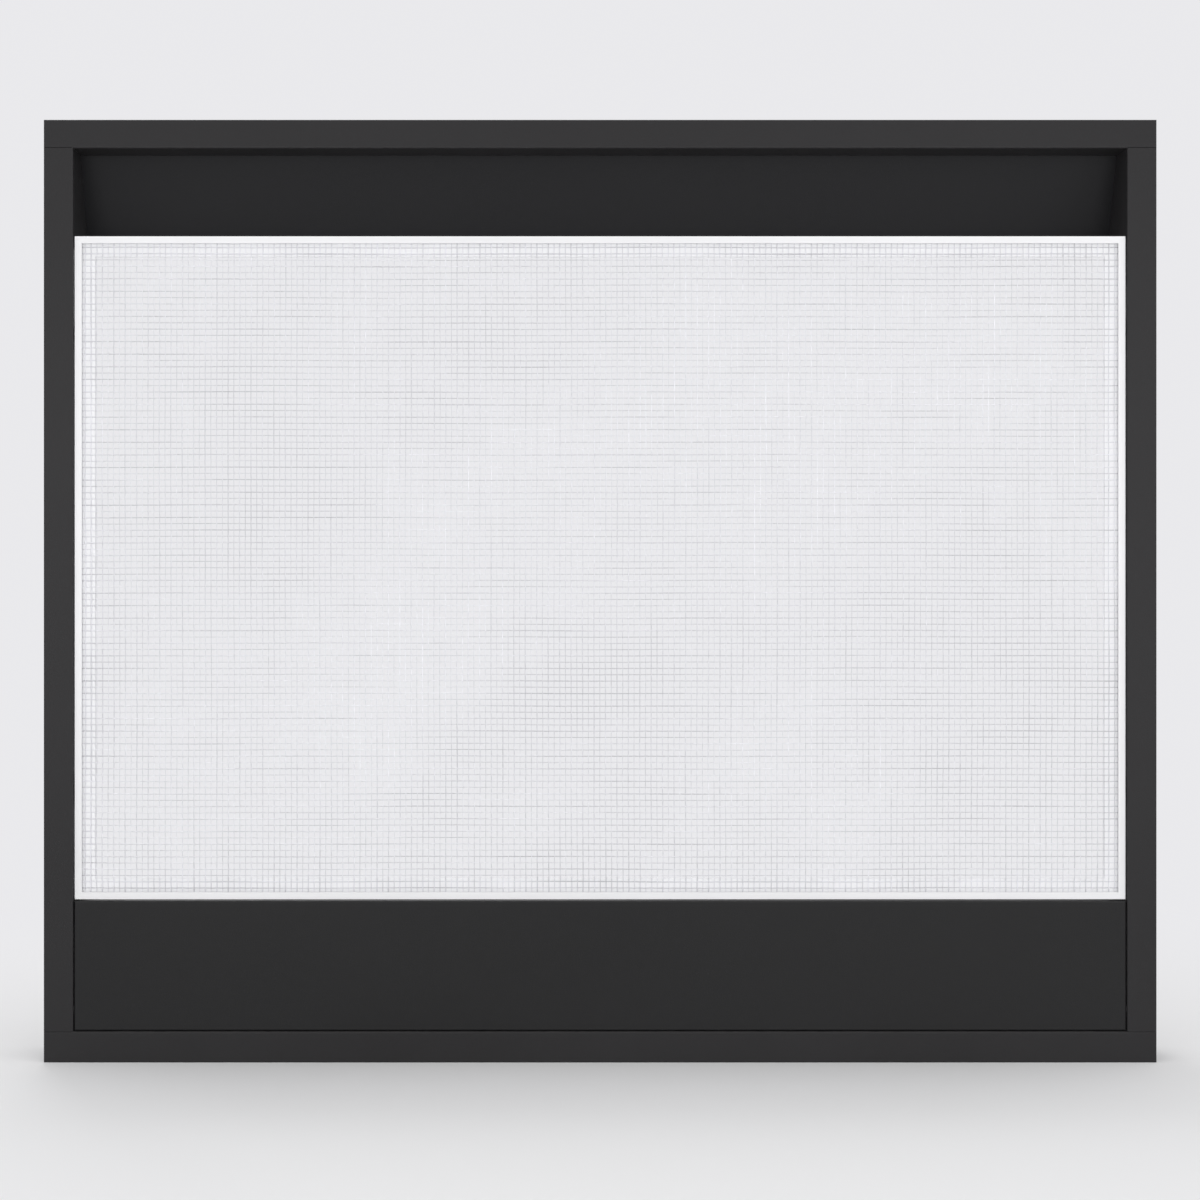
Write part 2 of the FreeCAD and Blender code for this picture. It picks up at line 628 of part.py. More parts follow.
def make_hinge_pins(nut):
    """The two pins that the door turns on, and their nuts inside the stiles."""
    shaft = size["hinge_pin_diameter"] / 2
    thread = size["thread_diameter"] / 2
    collar = size["hinge_collar_diameter"] / 2
    reach = -size["hinge_pin_reach"]
    shoulder = -size["hinge_collar"]
    profile = (
        (ZERO, reach), (shaft, reach), (shaft, shoulder), (collar, shoulder), (collar, ZERO),
        (thread, ZERO), (thread, size["thread_length"]), (ZERO, size["thread_length"]),
    )
    for side, sign in SIDES.items():
        set_base(turned(f"{side}_hinge_pin", profile), (inner * sign, hinge_y, hinge_z), OUTWARD[side])
    nuts = [(((inner + wall) * SIDES[side], hinge_y, hinge_z), OUTWARD[side]) for side in SIDES]
    group("hinge_pin_nuts", nut, nuts)


def make_catch_housing(side):
    """The housing of a magnet catch, open at the front, with a screw ear at each end."""
    body = new_body(f"{side}_catch_housing")
    middle = catch_side * SIDES[side]
    front = behind(catch_front_depth)
    back = behind(mid_rail_front_depth)
    half = size["catch_width"] / 2
    ear = half + size["catch_ear_length"]
    ear_front = back - size["catch_ear_sheet"]
    low = catch_middle - size["catch_height"] / 2
    high = catch_middle + size["catch_height"] / 2
    add_block(body, "case", (middle - half, front, low), (middle + half, back, high))
    add_block(body, "ears", (middle - ear, ear_front, low), (middle + ear, back, high))
    pocket = size["magnet_width"] / 2 + size["catch_pocket_gap"]
    pocket_height = pole_height + size["catch_pocket_gap"]
    near = (middle - pocket, front - PAST, catch_middle - pocket_height)
    far = (middle + pocket, front + size["magnet_depth"], catch_middle + pocket_height)
    cut_block(body, "pocket", near, far)
    for end in (-1, 1):
        place = (middle + catch_ear_middle * end, ear_front - PAST, catch_middle)
        drill(body, "ear_hole", place, "+y", size["catch_ear_sheet"] + PAST * 2, catch_screw_hole)


def make_catch_inserts():
    """The magnets, their pole plates and the screws of both catches."""
    front = behind(catch_front_depth)
    floor = front + size["magnet_depth"]
    half = size["magnet_width"] / 2
    core = size["magnet_height"] / 2
    magnets = []
    plates = []
    screws = []
    for side, sign in SIDES.items():
        middle = catch_side * sign
        near = (middle - half, front, catch_middle - core)
        far = (middle + half, floor, catch_middle + core)
        magnets.append(plain_box(f"{side}_magnet", near, far, kept=False))
        for low in (catch_middle - pole_height, catch_middle + core):
            near = (middle - half, front - size["pole_proud"], low)
            far = (middle + half, floor, low + size["pole_sheet"])
            plates.append(plain_box(f"{side}_pole_plate", near, far, kept=False))
        ear_front = behind(mid_rail_front_depth - size["catch_ear_sheet"])
        for end in (-1, 1):
            screws.append(((middle + catch_ear_middle * end, ear_front, catch_middle), "+y"))
    new_object("Part::Compound", "catch_magnets").Links = magnets
    new_object("Part::Compound", "catch_pole_plates").Links = plates
    head = size["catch_screw_head_diameter"] / 2
    crown = size["catch_screw_crown_diameter"] / 2
    shank = size["catch_screw_diameter"] / 2
    top = -size["catch_screw_head_height"]
    tip = size["catch_screw_length"]
    profile = (
        (ZERO, top), (crown, top), (head, top / 2), (head, ZERO), (shank, ZERO),
        (shank, tip - shank), (ZERO, tip),
    )
    group("catch_screws", turned("catch_screw_pattern", profile, kept=False), screws)


def inside_channels(depth):
    """Spans of the screen's plane, from depth inside each channel's outer edge to past its rear leg."""
    end = size["channel_back"] + PAST
    span = screen_side + PAST
    return {
        "top": ((-span, screen_high - end), (span, screen_high - depth)),
        "bottom": ((-span, screen_low + depth), (span, screen_low + end)),
        "left": ((depth - screen_side, screen_low - PAST), (end - screen_side, screen_high + PAST)),
        "right": ((screen_side - end, screen_low - PAST), (screen_side - depth, screen_high + PAST)),
    }


def make_channels():
    """The four mitred channels that bind the edges of the wire cloth, each with a wide leg behind it."""
    reach = size["channel_back"]
    side_in = screen_side - reach
    bars = {
        "top": ((-screen_side, screen_high), (screen_side, screen_high), (side_in, screen_high - reach),
                (-side_in, screen_high - reach)),
        "bottom": ((-screen_side, screen_low), (screen_side, screen_low), (side_in, screen_low + reach),
                   (-side_in, screen_low + reach)),
    }
    for side, sign in SIDES.items():
        bars[side] = (
            (screen_side * sign, screen_low), (screen_side * sign, screen_high),
            (side_in * sign, screen_high - reach), (side_in * sign, screen_low + reach),
        )
    face = behind(size["screen_setback"])
    back = behind(screen_back_depth) - size["channel_wall"]
    cuts = (
        ("slot", face + size["channel_wall"], inside_channels(size["channel_wall"])),
        ("window", face - PAST, inside_channels(size["channel_face"])),
    )
    for name, corners in bars.items():
        body = new_body(f"screen_{name}_channel")
        sketch = outline(body, "XZ_Plane", corners, -behind(screen_back_depth))
        pad(body, "bar", sketch, size["channel_depth"])
        for cut, front, spans in cuts:
            (left, low), (right, high) = spans[name]
            cut_block(body, cut, (left, front, low), (right, back, high))


mesh_side = screen_side - size["channel_wall"] - size["mesh_edge_gap"]
mesh_low = screen_low + size["channel_wall"] + size["mesh_edge_gap"]
mesh_high = screen_high - size["channel_wall"] - size["mesh_edge_gap"]
mesh_front = behind(size["screen_setback"] + size["channel_wall"])


def rectangle(left, low, right, high, y):
    """A closed wire in an upright plane."""
    corners = [(left, low), (right, low), (right, high), (left, high), (left, low)]
    return Part.makePolygon([FreeCAD.Vector(x, y, z) for x, z in corners])


def make_mesh_cloth():
    """The wire cloth as one holed sheet: a solid border and a regular grid of gaps."""
    y = mesh_front.number
    border = size["mesh_border"].number
    bar = size["mesh_bar"].number
    columns = int(size["mesh_columns"].number)
    rows = int(size["mesh_rows"].number)
    left = -mesh_side.number
    low = mesh_low.number
    width = mesh_side.number * 2
    height = mesh_high.number - low
    gap_width = (width - border * 2 - bar * (columns - 1)) / columns
    gap_height = (height - border * 2 - bar * (rows - 1)) / rows
    wires = [rectangle(left, low, left + width, low + height, y)]
    for column in range(columns):
        gap_left = left + border + column * (gap_width + bar)
        for row in range(rows):
            gap_low = low + border + row * (gap_height + bar)
            wires.append(rectangle(gap_left, gap_low, gap_left + gap_width, gap_low + gap_height, y))
    sheet_face = Part.Face(wires, "Part::FaceMakerBullseye")
    cloth = new_object("Part::Feature", "mesh_cloth")
    cloth.Shape = sheet_face.extrude(FreeCAD.Vector(0, size["mesh_thickness"].number, 0))
    cloth.Placement = FreeCAD.Placement()


def make_retaining_strips():
    """Flat bars behind the cloth's border, which clamp it in the channels."""
    front = mesh_front + size["mesh_thickness"]
    back = behind(screen_back_depth) - size["channel_wall"] - size["strip_gap"]
    wide = size["strip_width"]
    for name, low in (("top", mesh_high - wide), ("bottom", mesh_low)):
        plain_box(f"{name}_retaining_strip", (-mesh_side, front, low), (mesh_side, back, low + wide))
    for name, left in (("left", -mesh_side), ("right", mesh_side - wide)):
        low = (left, front, mesh_low + wide)
        plain_box(f"{name}_retaining_strip", low, (left + wide, back, mesh_high - wide))


def make_corner_plate(level, side):
    """A flat L behind a corner of the screen, which joins its two channels."""
    body = new_body(f"{level}_{side}_corner_plate")
    sign = SIDES[side]
    corner, up = (screen_high, -1) if level == "upper" else (screen_low, 1)
    wide = size["corner_plate_width"]
    leg = size["corner_plate_leg"]
    section = ((ZERO, ZERO), (leg, ZERO), (leg, wide), (wide, wide), (wide, leg), (ZERO, leg))
    corners = [((screen_side - x) * sign, corner + z * up) for x, z in section]
    thick = size["corner_plate_sheet"]
    pad(body, "plate", outline(body, "XZ_Plane", corners, -behind(screen_back_depth + thick)), thick)


def make_hook(level, side):
    """A plate on the back of a side channel, with a slot that drops over its pin."""
    body = new_body(f"{level}_{side}_hook")
    sign = SIDES[side]
    left, right = (hook_in, hook_out) if sign > 0 else (-hook_out, -hook_in)
    z = hook_heights[level]
    half = size["hang_pin_diameter"] / 2 + size["hook_gap"]
    low = z - size["hook_drop"]
    back = hang_pin_y + size["hook_rear"]
    add_block(body, "plate", (left, behind(screen_back_depth), low), (right, back, z + size["hook_rise"]))
    near = (left - PAST, hang_pin_y - half, low - PAST)
    cut_block(body, "slot", near, (right + PAST, hang_pin_y + half, z))
    drill_side_wall(body, "slot_end", side, hook_in, size["hook_sheet"], hang_pin_y, z, half * 2)


def make_door_panel():
    """The door: a pan with inward lips at its back, which stiffen it and give the magnets a hold."""
    body = new_body("door_panel")
    sheet_wall = size["door_sheet"]
    lip = size["door_lip"]
    face = behind(size["door_setback"])
    back = behind(door_back_depth)
    add_block(body, "blank", (-door_side, face, door_low), (door_side, back, door_high))
    bend_edges(body, "folds", in_plane_y(face))
    low = (sheet_wall - door_side, face + sheet_wall, door_low + sheet_wall)
    high = (door_side - sheet_wall, back - sheet_wall, door_high - sheet_wall)
    cut_block(body, "hollow", low, high)
    low = (lip - door_side, back - sheet_wall - PAST, door_low + lip)
    cut_block(body, "back_opening", low, (door_side - lip, back + PAST, door_high - lip))
    hole = (bush_radius + size["bush_seat_gap"]) * 2
    start = door_side - sheet_wall
    for side in SIDES:
        drill_side_wall(body, f"{side}_bush_hole", side, start, sheet_wall, hinge_y, hinge_z, hole)


def make_door_stiffener():
    """A hat-shaped bar along the inside of the door's face."""
    body = new_body("door_stiffener")
    thick = size["stiffener_sheet"]
    front = behind(size["door_setback"] + size["door_sheet"])
    back = front + size["stiffener_height"]
    middle = door_low + size["door_height"] / 2
    crown = size["stiffener_crown"] / 2
    foot = crown + size["stiffener_foot"]
    upper = (
        (front, crown - thick), (front, foot), (front + thick, foot), (front + thick, crown), (back, crown),
    )
    lower = [(y, -z) for y, z in reversed(upper)]
    inside = ((back - thick, thick - crown), (back - thick, crown - thick))
    section = [(y, middle + z) for y, z in (*inside, *upper, *lower)]
    length = (door_side - size["stiffener_end_gap"]) * 2
    pad(body, "length", outline(body, "YZ_Plane", section), length, symmetric=True)


def make_door_bushes():
    """Plain bushes pressed into the sides of the door, flush outside, running on the hinge pins."""
    bore = size["hinge_pin_diameter"] / 2 + size["running_gap"]
    bottom = -size["bush_length"]
    profile = ((bore, bottom), (bush_radius, bottom), (bush_radius, ZERO), (bore, ZERO))
    for side, sign in SIDES.items():
        set_base(turned(f"{side}_door_bush", profile), (door_side * sign, hinge_y, hinge_z), OUTWARD[side])


def make_frame():
    make_top_rail()
    make_bottom_rail()
    make_mid_rail()
    make_air_hood()
    nut = nut_pattern()
    for side in SIDES:
        make_stile(side)
        make_catch_housing(side)
        for level in ("top", "bottom"):
            make_corner_bracket(level, side)
    make_rivets()
    make_hang_pins(nut)
    make_hinge_pins(nut)
    make_catch_inserts()


def make_screen():
    make_mesh_cloth()
    make_channels()
    make_retaining_strips()
    for level in ("upper", "lower"):
        for side in SIDES:
            make_corner_plate(level, side)
            make_hook(level, side)


def make_door():
    make_door_panel()
    make_door_stiffener()
    make_door_bushes()


def check_and_write():
    """Stops if any object failed, then writes each sub-part to its own file."""
    doc.recompute()
    failed = [item.Label for item in doc.Objects if "Invalid" in item.State or "Error" in item.State]
    failed += [part.Label for part in sub_parts if part.Shape.isNull() or not part.Shape.isValid()]
    if failed:
        raise RuntimeError(f"failed objects: {failed}")
    os.makedirs("parts", exist_ok=True)
    for part in sub_parts:
        part.Shape.exportStep(f"parts/{part.Label}.step")
        print(part.Label, len(part.Shape.Solids), round(part.Shape.Volume, 1))


make_frame()
make_screen()
make_door()
check_and_write()
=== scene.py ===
"""Looks of a mesh fireplace front: coated sheet steel, a woven wire screen and a drop-down door."""
import json

import bpy
import numpy as np
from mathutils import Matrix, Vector


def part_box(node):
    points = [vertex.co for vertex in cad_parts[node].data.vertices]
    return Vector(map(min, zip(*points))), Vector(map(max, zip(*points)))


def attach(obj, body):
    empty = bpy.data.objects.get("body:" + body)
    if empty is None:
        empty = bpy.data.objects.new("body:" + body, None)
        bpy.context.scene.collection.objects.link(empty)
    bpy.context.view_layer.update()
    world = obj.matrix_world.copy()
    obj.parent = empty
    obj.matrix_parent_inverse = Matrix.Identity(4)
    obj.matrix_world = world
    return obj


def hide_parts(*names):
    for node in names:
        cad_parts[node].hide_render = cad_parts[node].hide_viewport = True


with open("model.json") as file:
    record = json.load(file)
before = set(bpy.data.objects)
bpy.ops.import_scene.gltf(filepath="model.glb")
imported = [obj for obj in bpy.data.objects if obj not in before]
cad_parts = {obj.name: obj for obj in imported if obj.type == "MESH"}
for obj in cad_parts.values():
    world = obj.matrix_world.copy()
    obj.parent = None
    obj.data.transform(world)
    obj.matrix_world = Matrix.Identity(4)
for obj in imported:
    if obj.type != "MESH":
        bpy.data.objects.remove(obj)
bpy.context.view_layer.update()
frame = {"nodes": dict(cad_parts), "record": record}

TAU = 2 * np.pi
MM = 0.001

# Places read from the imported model
surround_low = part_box("bottom_rail")[0]
surround_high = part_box("top_rail")[1]
face = surround_low.y
door_low, door_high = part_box("door_panel")
opening_half = abs(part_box("left_stile")[1].x)
opening_low = Vector((-opening_half, face, door_low.z))
opening_high = Vector((opening_half, face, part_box("top_rail")[0].z))
channel_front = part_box("screen_top_channel")[0].y
channel_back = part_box("screen_top_channel")[1].y


# Node helpers
# Numbers of a Mix node's sockets for colours
MIX_SHARE = 0
MIX_FIRST = 6
MIX_SECOND = 7
MIX_RESULT = 2
# Clouds: their usual detail, and the value that they lie about
CLOUD_DETAIL = 4.0
CLOUD_MIDDLE = 0.5


def opaque(colour):
    """A colour with full cover, as shader sockets take it."""
    return (*colour, 1.0)


def fill_sockets(tree, node, sockets):
    """Sets the inputs of a node: a plain value is written in, another node's socket is linked."""
    for name, value in sockets.items():
        if isinstance(value, bpy.types.NodeSocket):
            tree.links.new(value, node.inputs[name])
        else:
            node.inputs[name].default_value = value


def add(tree, kind, sockets, **settings):
    """A new shader node with its inputs and settings."""
    node = tree.nodes.new("ShaderNode" + kind)
    for name, value in settings.items():
        setattr(node, name, value)
    fill_sockets(tree, node, sockets)
    return node


def maths(tree, operation, first, second=0.0, third=0.0):
    """One sum of one, two or three values."""
    return add(tree, "Math", {0: first, 1: second, 2: third}, operation=operation).outputs[0]


def ramp(tree, value, low, high, start=0.0, end=1.0):
    """A value carried smoothly from the range low to high into the range start to end."""
    sockets = {"Value": value, "From Min": low, "From Max": high, "To Min": start, "To Max": end}
    return add(tree, "MapRange", sockets, interpolation_type="SMOOTHSTEP").outputs["Result"]


def noise(tree, position, scale, detail=CLOUD_DETAIL):
    """Cloud values between nought and one, so many to the metre."""
    return add(tree, "TexNoise", {"Vector": position, "Scale": scale, "Detail": detail}).outputs["Fac"]


def centred(tree, cloud):
    """Cloud values about nought."""
    return maths(tree, "SUBTRACT", cloud, CLOUD_MIDDLE)


def blended(tree, share, first, second):
    """Two colours mixed by a share."""
    sockets = {MIX_SHARE: share, MIX_FIRST: first, MIX_SECOND: second}
    return add(tree, "Mix", sockets, data_type="RGBA").outputs[MIX_RESULT]


def new_group(name, inputs, outputs):
    """An empty shader group with named sockets: the group, what comes in, and the node that puts out."""
    group = bpy.data.node_groups.new(name, "ShaderNodeTree")
    for label, kind in inputs.items():
        group.interface.new_socket(name=label, in_out="INPUT", socket_type="NodeSocket" + kind)
    for label, kind in outputs.items():
        group.interface.new_socket(name=label, in_out="OUTPUT", socket_type="NodeSocket" + kind)
    return group, group.nodes.new("NodeGroupInput").outputs, group.nodes.new("NodeGroupOutput")


def use_group(tree, group, sockets):
    """A group placed in a material with its own values: what it puts out."""
    node = tree.nodes.new("ShaderNodeGroup")
    node.node_tree = group
    fill_sockets(tree, node, sockets)
    return node.outputs


# Powder coat: clouds to the metre, the specks' share of the tone, and how far both change the roughness
COAT_CLOUDS = 7.0
COAT_CLOUD_DETAIL = 5.0
SPECK_TONE = 0.6
CLOUD_ROUGHNESS = 0.18
SPECK_ROUGHNESS = 0.15


def make_coat_grain():
    """Powder coat: a tone with broad clouds, fine grain in the roughness and in the height."""
    group, given, out = new_group(
        "coat_grain",
        {"Position": "Vector", "Tone": "Color", "Mottle": "Float", "Grain": "Float", "Roughness": "Float"},
        {"Color": "Color", "Roughness": "Float", "Height": "Float"})
    fine = noise(group, given["Position"], given["Grain"])
    cloud = centred(group, noise(group, given["Position"], COAT_CLOUDS, COAT_CLOUD_DETAIL))
    speck = centred(group, fine)
    lift = maths(group, "MULTIPLY_ADD", speck, SPECK_TONE, cloud)
    gain = maths(group, "MULTIPLY_ADD", lift, given["Mottle"], 1.0)
    tone = add(group, "VectorMath", {0: given["Tone"], "Scale": gain}, operation="SCALE").outputs[0]
    clouded = maths(group, "MULTIPLY_ADD", cloud, CLOUD_ROUGHNESS, given["Roughness"])
    shine = maths(group, "MULTIPLY_ADD", speck, SPECK_ROUGHNESS, clouded)
    fill_sockets(group, out, {"Color": tone, "Roughness": shine, "Height": fine})
    return group


# Dust: how far a surface looks up for dust to lie on it, patches to the metre, and where a patch starts
DUST_LIES = (0.5, 1.0)
DUST_PATCHES = 190.0
DUST_DETAIL = 9.0
DUST_STARTS = (0.2, 0.9)


def make_settled_dust():
    """Dust: lies where the surface looks up, broken up by clouds."""
    group, given, out = new_group(
        "settled_dust", {"Position": "Vector", "Normal": "Vector", "Amount": "Float"}, {"Mask": "Float"})
    upward = add(group, "SeparateXYZ", {0: given["Normal"]}).outputs["Z"]
    lying = ramp(group, upward, *DUST_LIES)
    patch = ramp(group, noise(group, given["Position"], DUST_PATCHES, DUST_DETAIL), *DUST_STARTS)
    patchy = maths(group, "MULTIPLY", lying, patch)
    fill_sockets(group, out, {"Mask": maths(group, "MULTIPLY", patchy, given["Amount"])})
    return group


# Folded edge, paler partly from wear of the thinner coat and partly as a painted highlight: how its line
# fades beside the fold and behind the face, and its rubbed spots to the metre
LINE_FADE = (0.0, 1.0, 1.0, 0.0)
FACE_FADE = (0.5, 1.5, 1.0, 0.0)
RUBBED_SPOTS = 140.0
RUB_RANGE = (0.25, 0.7, 0.35, 1.0)


def make_edge_wear_and_highlight():
    """Folded edge: distance to a rectangle's outline near the face plane, turned into a thin mask for paler
    edges, part wear and part painted highlight.
    """
    group, given, out = new_group(
        "edge_wear_and_highlight",
        {"Position": "Vector", "Half Width": "Float", "Middle": "Float", "Half Height": "Float",
         "Face": "Float", "Reach": "Float"},
        {"Mask": "Float"})
    place = add(group, "SeparateXYZ", {0: given["Position"]}).outputs
    across = maths(group, "SUBTRACT", maths(group, "ABSOLUTE", place["X"]), given["Half Width"])
    upright = maths(group, "ABSOLUTE", maths(group, "SUBTRACT", place["Z"], given["Middle"]))
    along = maths(group, "SUBTRACT", upright, given["Half Height"])
    distance = maths(group, "ABSOLUTE", maths(group, "MAXIMUM", across, along))
    depth = maths(group, "SUBTRACT", place["Y"], given["Face"])
    line = ramp(group, maths(group, "DIVIDE", distance, given["Reach"]), *LINE_FADE)
    front = ramp(group, maths(group, "DIVIDE", depth, given["Reach"]), *FACE_FADE)
    rub = ramp(group, noise(group, given["Position"], RUBBED_SPOTS), *RUB_RANGE)
    fill_sockets(group, out, {"Mask": maths(group, "MULTIPLY", maths(group, "MULTIPLY", line, front), rub)})
    return group


# Brushing: the shares of lines and clouds in the tone, and how far lines change the roughness
LINE_TONE = 0.6
BROAD_TONE = 0.4
BROAD_DETAIL = 3.0
LINE_ROUGHNESS = 0.22


def make_brushed_lines():
    """Brushing: clouds squeezed across the lay of the lines and stretched along it."""
    group, given, out = new_group(
        "brushed_lines",
        {"Position": "Vector", "Stretch": "Vector", "Cloud": "Float", "Roughness": "Float"},
        {"Value": "Float", "Roughness": "Float", "Height": "Float"})
    stretched = {0: given["Position"], 1: given["Stretch"]}
    drawn = add(group, "VectorMath", stretched, operation="MULTIPLY").outputs[0]
    lines = noise(group, drawn, 1.0)
    broad = noise(group, given["Position"], given["Cloud"], BROAD_DETAIL)
    value = maths(group, "MULTIPLY_ADD", broad, BROAD_TONE, maths(group, "MULTIPLY", lines, LINE_TONE))
    shine = maths(group, "MULTIPLY_ADD", centred(group, lines), LINE_ROUGHNESS, given["Roughness"])
    fill_sockets(group, out, {"Value": value, "Roughness": shine, "Height": lines})
    return group


# Clouded metal: clouds to the metre, the pits' share, where the second tone starts, and the roughness
BLOOM_CLOUDS = 110.0
PIT_TONE = 0.3
BLOOM_STARTS = (0.35, 0.85)
BLOOM_ROUGHNESS = 0.3


def make_metal_bloom():
    """Plating and sintered metal: two sizes of cloud for the tone, small pits for the height."""
    group, given, out = new_group(
        "metal_bloom",
        {"Position": "Vector", "First": "Color", "Second": "Color", "Grain": "Float", "Roughness": "Float"},
        {"Color": "Color", "Roughness": "Float", "Height": "Float"})
    broad = noise(group, given["Position"], BLOOM_CLOUDS)
    grains = {"Vector": given["Position"], "Scale": given["Grain"]}
    pits = add(group, "TexVoronoi", grains).outputs["Distance"]
    share = ramp(group, maths(group, "MULTIPLY_ADD", pits, PIT_TONE, broad), *BLOOM_STARTS)
    colour = blended(group, share, given["First"], given["Second"])
    shine = maths(group, "MULTIPLY_ADD", centred(group, broad), BLOOM_ROUGHNESS, given["Roughness"])
    fill_sockets(group, out, {"Color": colour, "Roughness": shine, "Height": pits})
    return group


coat_grain = make_coat_grain()
settled_dust = make_settled_dust()
edge_wear_and_highlight = make_edge_wear_and_highlight()
brushed_lines = make_brushed_lines()
metal_bloom = make_metal_bloom()


# Finishes
BUMP_DISTANCE = 0.2 * MM


def new_finish(name):
    """An empty material: the material, its tree, and the object's own positions and normals."""
    finish = bpy.data.materials.new(name)
    finish.use_nodes = True
    tree = finish.node_tree
    tree.nodes.clear()
    return finish, tree, add(tree, "TexCoord", {}).outputs


def close_finish(tree, colour, roughness, height, bump, **plain):
    """The surface shader with a bump; plain values go straight on its sockets."""
    relief = add(tree, "Bump", {"Height": height, "Strength": bump, "Distance": BUMP_DISTANCE})
    more = {label.replace("_", " "): value for label, value in plain.items()}
    shader = add(tree, "BsdfPrincipled", {
        "Base Color": colour, "Roughness": roughness, "Normal": relief.outputs["Normal"], **more})
    add(tree, "OutputMaterial", {"Surface": shader.outputs[0]})


# Coat: grains to the metre, relief and gloss, how a folded edge wears and takes a painted highlight, and the
# dust on it
COAT_GRAINS = 1300.0
COAT_BUMP = 0.5
COAT_SPECULAR = 0.18
EDGE_REACH = 1.6 * MM
EDGE_PALER_WEAR_AND_HIGHLIGHT = 1.5
EDGE_ROUGHNESS = -0.12
DUST_COLOUR = (0.30, 0.295, 0.285)
DUST_ROUGHNESS = 0.3


def rectangle_of(low, high):
    """A front rectangle for the edge effect, in its own socket names."""
    return {
        "Half Width": (high.x - low.x) / 2, "Middle": (high.z + low.z) / 2,
        "Half Height": (high.z - low.z) / 2, "Face": low.y, "Reach": EDGE_REACH}


def coat_finish(name, tone, roughness, mottle, dust, rectangles=()):
    """Powder coat with grain, a little dust on ledges and paler, smoother folded edges: part wear, part
    painted highlight.
    """
    finish, tree, place = new_finish(name)
    grain = use_group(tree, coat_grain, {
        "Position": place["Object"], "Tone": opaque(tone), "Mottle": mottle, "Grain": COAT_GRAINS,
        "Roughness": roughness})
    colour = grain["Color"]
    shine = grain["Roughness"]
    # Folded edges made paler: partly the coat worn thin, partly a painted highlight
    worn_and_highlit = opaque(EDGE_PALER_WEAR_AND_HIGHLIGHT * part for part in tone)
    for rectangle in rectangles:
        edge = use_group(tree, edge_wear_and_highlight, {"Position": place["Object"], **rectangle})["Mask"]
        colour = blended(tree, edge, colour, worn_and_highlit)
        shine = maths(tree, "MULTIPLY_ADD", edge, EDGE_ROUGHNESS, shine)
    lying = use_group(tree, settled_dust, {
        "Position": place["Object"], "Normal": place["Normal"], "Amount": dust})["Mask"]
    colour = blended(tree, lying, colour, opaque(DUST_COLOUR))
    shine = maths(tree, "MULTIPLY_ADD", lying, DUST_ROUGHNESS, shine)
    close_finish(tree, colour, shine, grain["Height"], COAT_BUMP, Specular_IOR_Level=COAT_SPECULAR)
    return finish


# Wire: tones to the metre along X, Y and Z, clouds to the metre, where the light tone starts, and relief
LEVEL_WIRES = (9.0, 1.0, 170.0)
UPRIGHT_WIRES = (190.0, 1.0, 9.0)
WIRE_CLOUDS = 4.0
WIRE_ROUGHNESS = 0.55
WIRE_LIGHTENS = (0.25, 0.75)
WIRE_BUMP = 0.03


def wire_finish(name, dark, light, stretch):
    """Satin wire whose tone drifts slowly along each wire and more from wire to wire."""
    finish, tree, place = new_finish(name)
    lines = use_group(tree, brushed_lines, {
        "Position": place["Object"], "Stretch": stretch, "Cloud": WIRE_CLOUDS, "Roughness": WIRE_ROUGHNESS})
    share = ramp(tree, lines["Value"], *WIRE_LIGHTENS)
    colour = blended(tree, share, opaque(dark), opaque(light))
    close_finish(tree, colour, lines["Roughness"], lines["Height"], WIRE_BUMP, Metallic=1.0)
    return finish


# Channel: brushed lines to the metre along X, Y and Z, clouds to the metre, gloss and relief
BRUSHED_LEVEL = (5.0, 1200.0, 1200.0)
BRUSHED_UPRIGHT = (1200.0, 1200.0, 5.0)
CHANNEL_CLOUDS = 14.0
CHANNEL_ROUGHNESS = 0.5
CHANNEL_BUMP = 0.06
# Its tones and share of metal: satin in front, a pale matte tone inside as painted light that lifts the shade
# behind the mesh, steel at the back
SATIN_DARK = (0.71, 0.71, 0.72)
SATIN_LIGHT = (0.85, 0.85, 0.86)
SATIN_METAL = 0.2
PAINTED_LIGHT_INSIDE = (0.90, 0.90, 0.915)
DULL_ROUGHNESS = 0.2
STEEL_DARK = (0.50, 0.50, 0.51)
STEEL_LIGHT = (0.86, 0.86, 0.87)
STEEL_METAL = 0.85
# Depths over which the front gives way to the inside, and the inside to the back
INSIDE_STARTS = (channel_front + 0.2 * MM, channel_front + 0.6 * MM)
BACK_STARTS = (channel_back - 0.3 * MM, channel_back - 0.1 * MM)


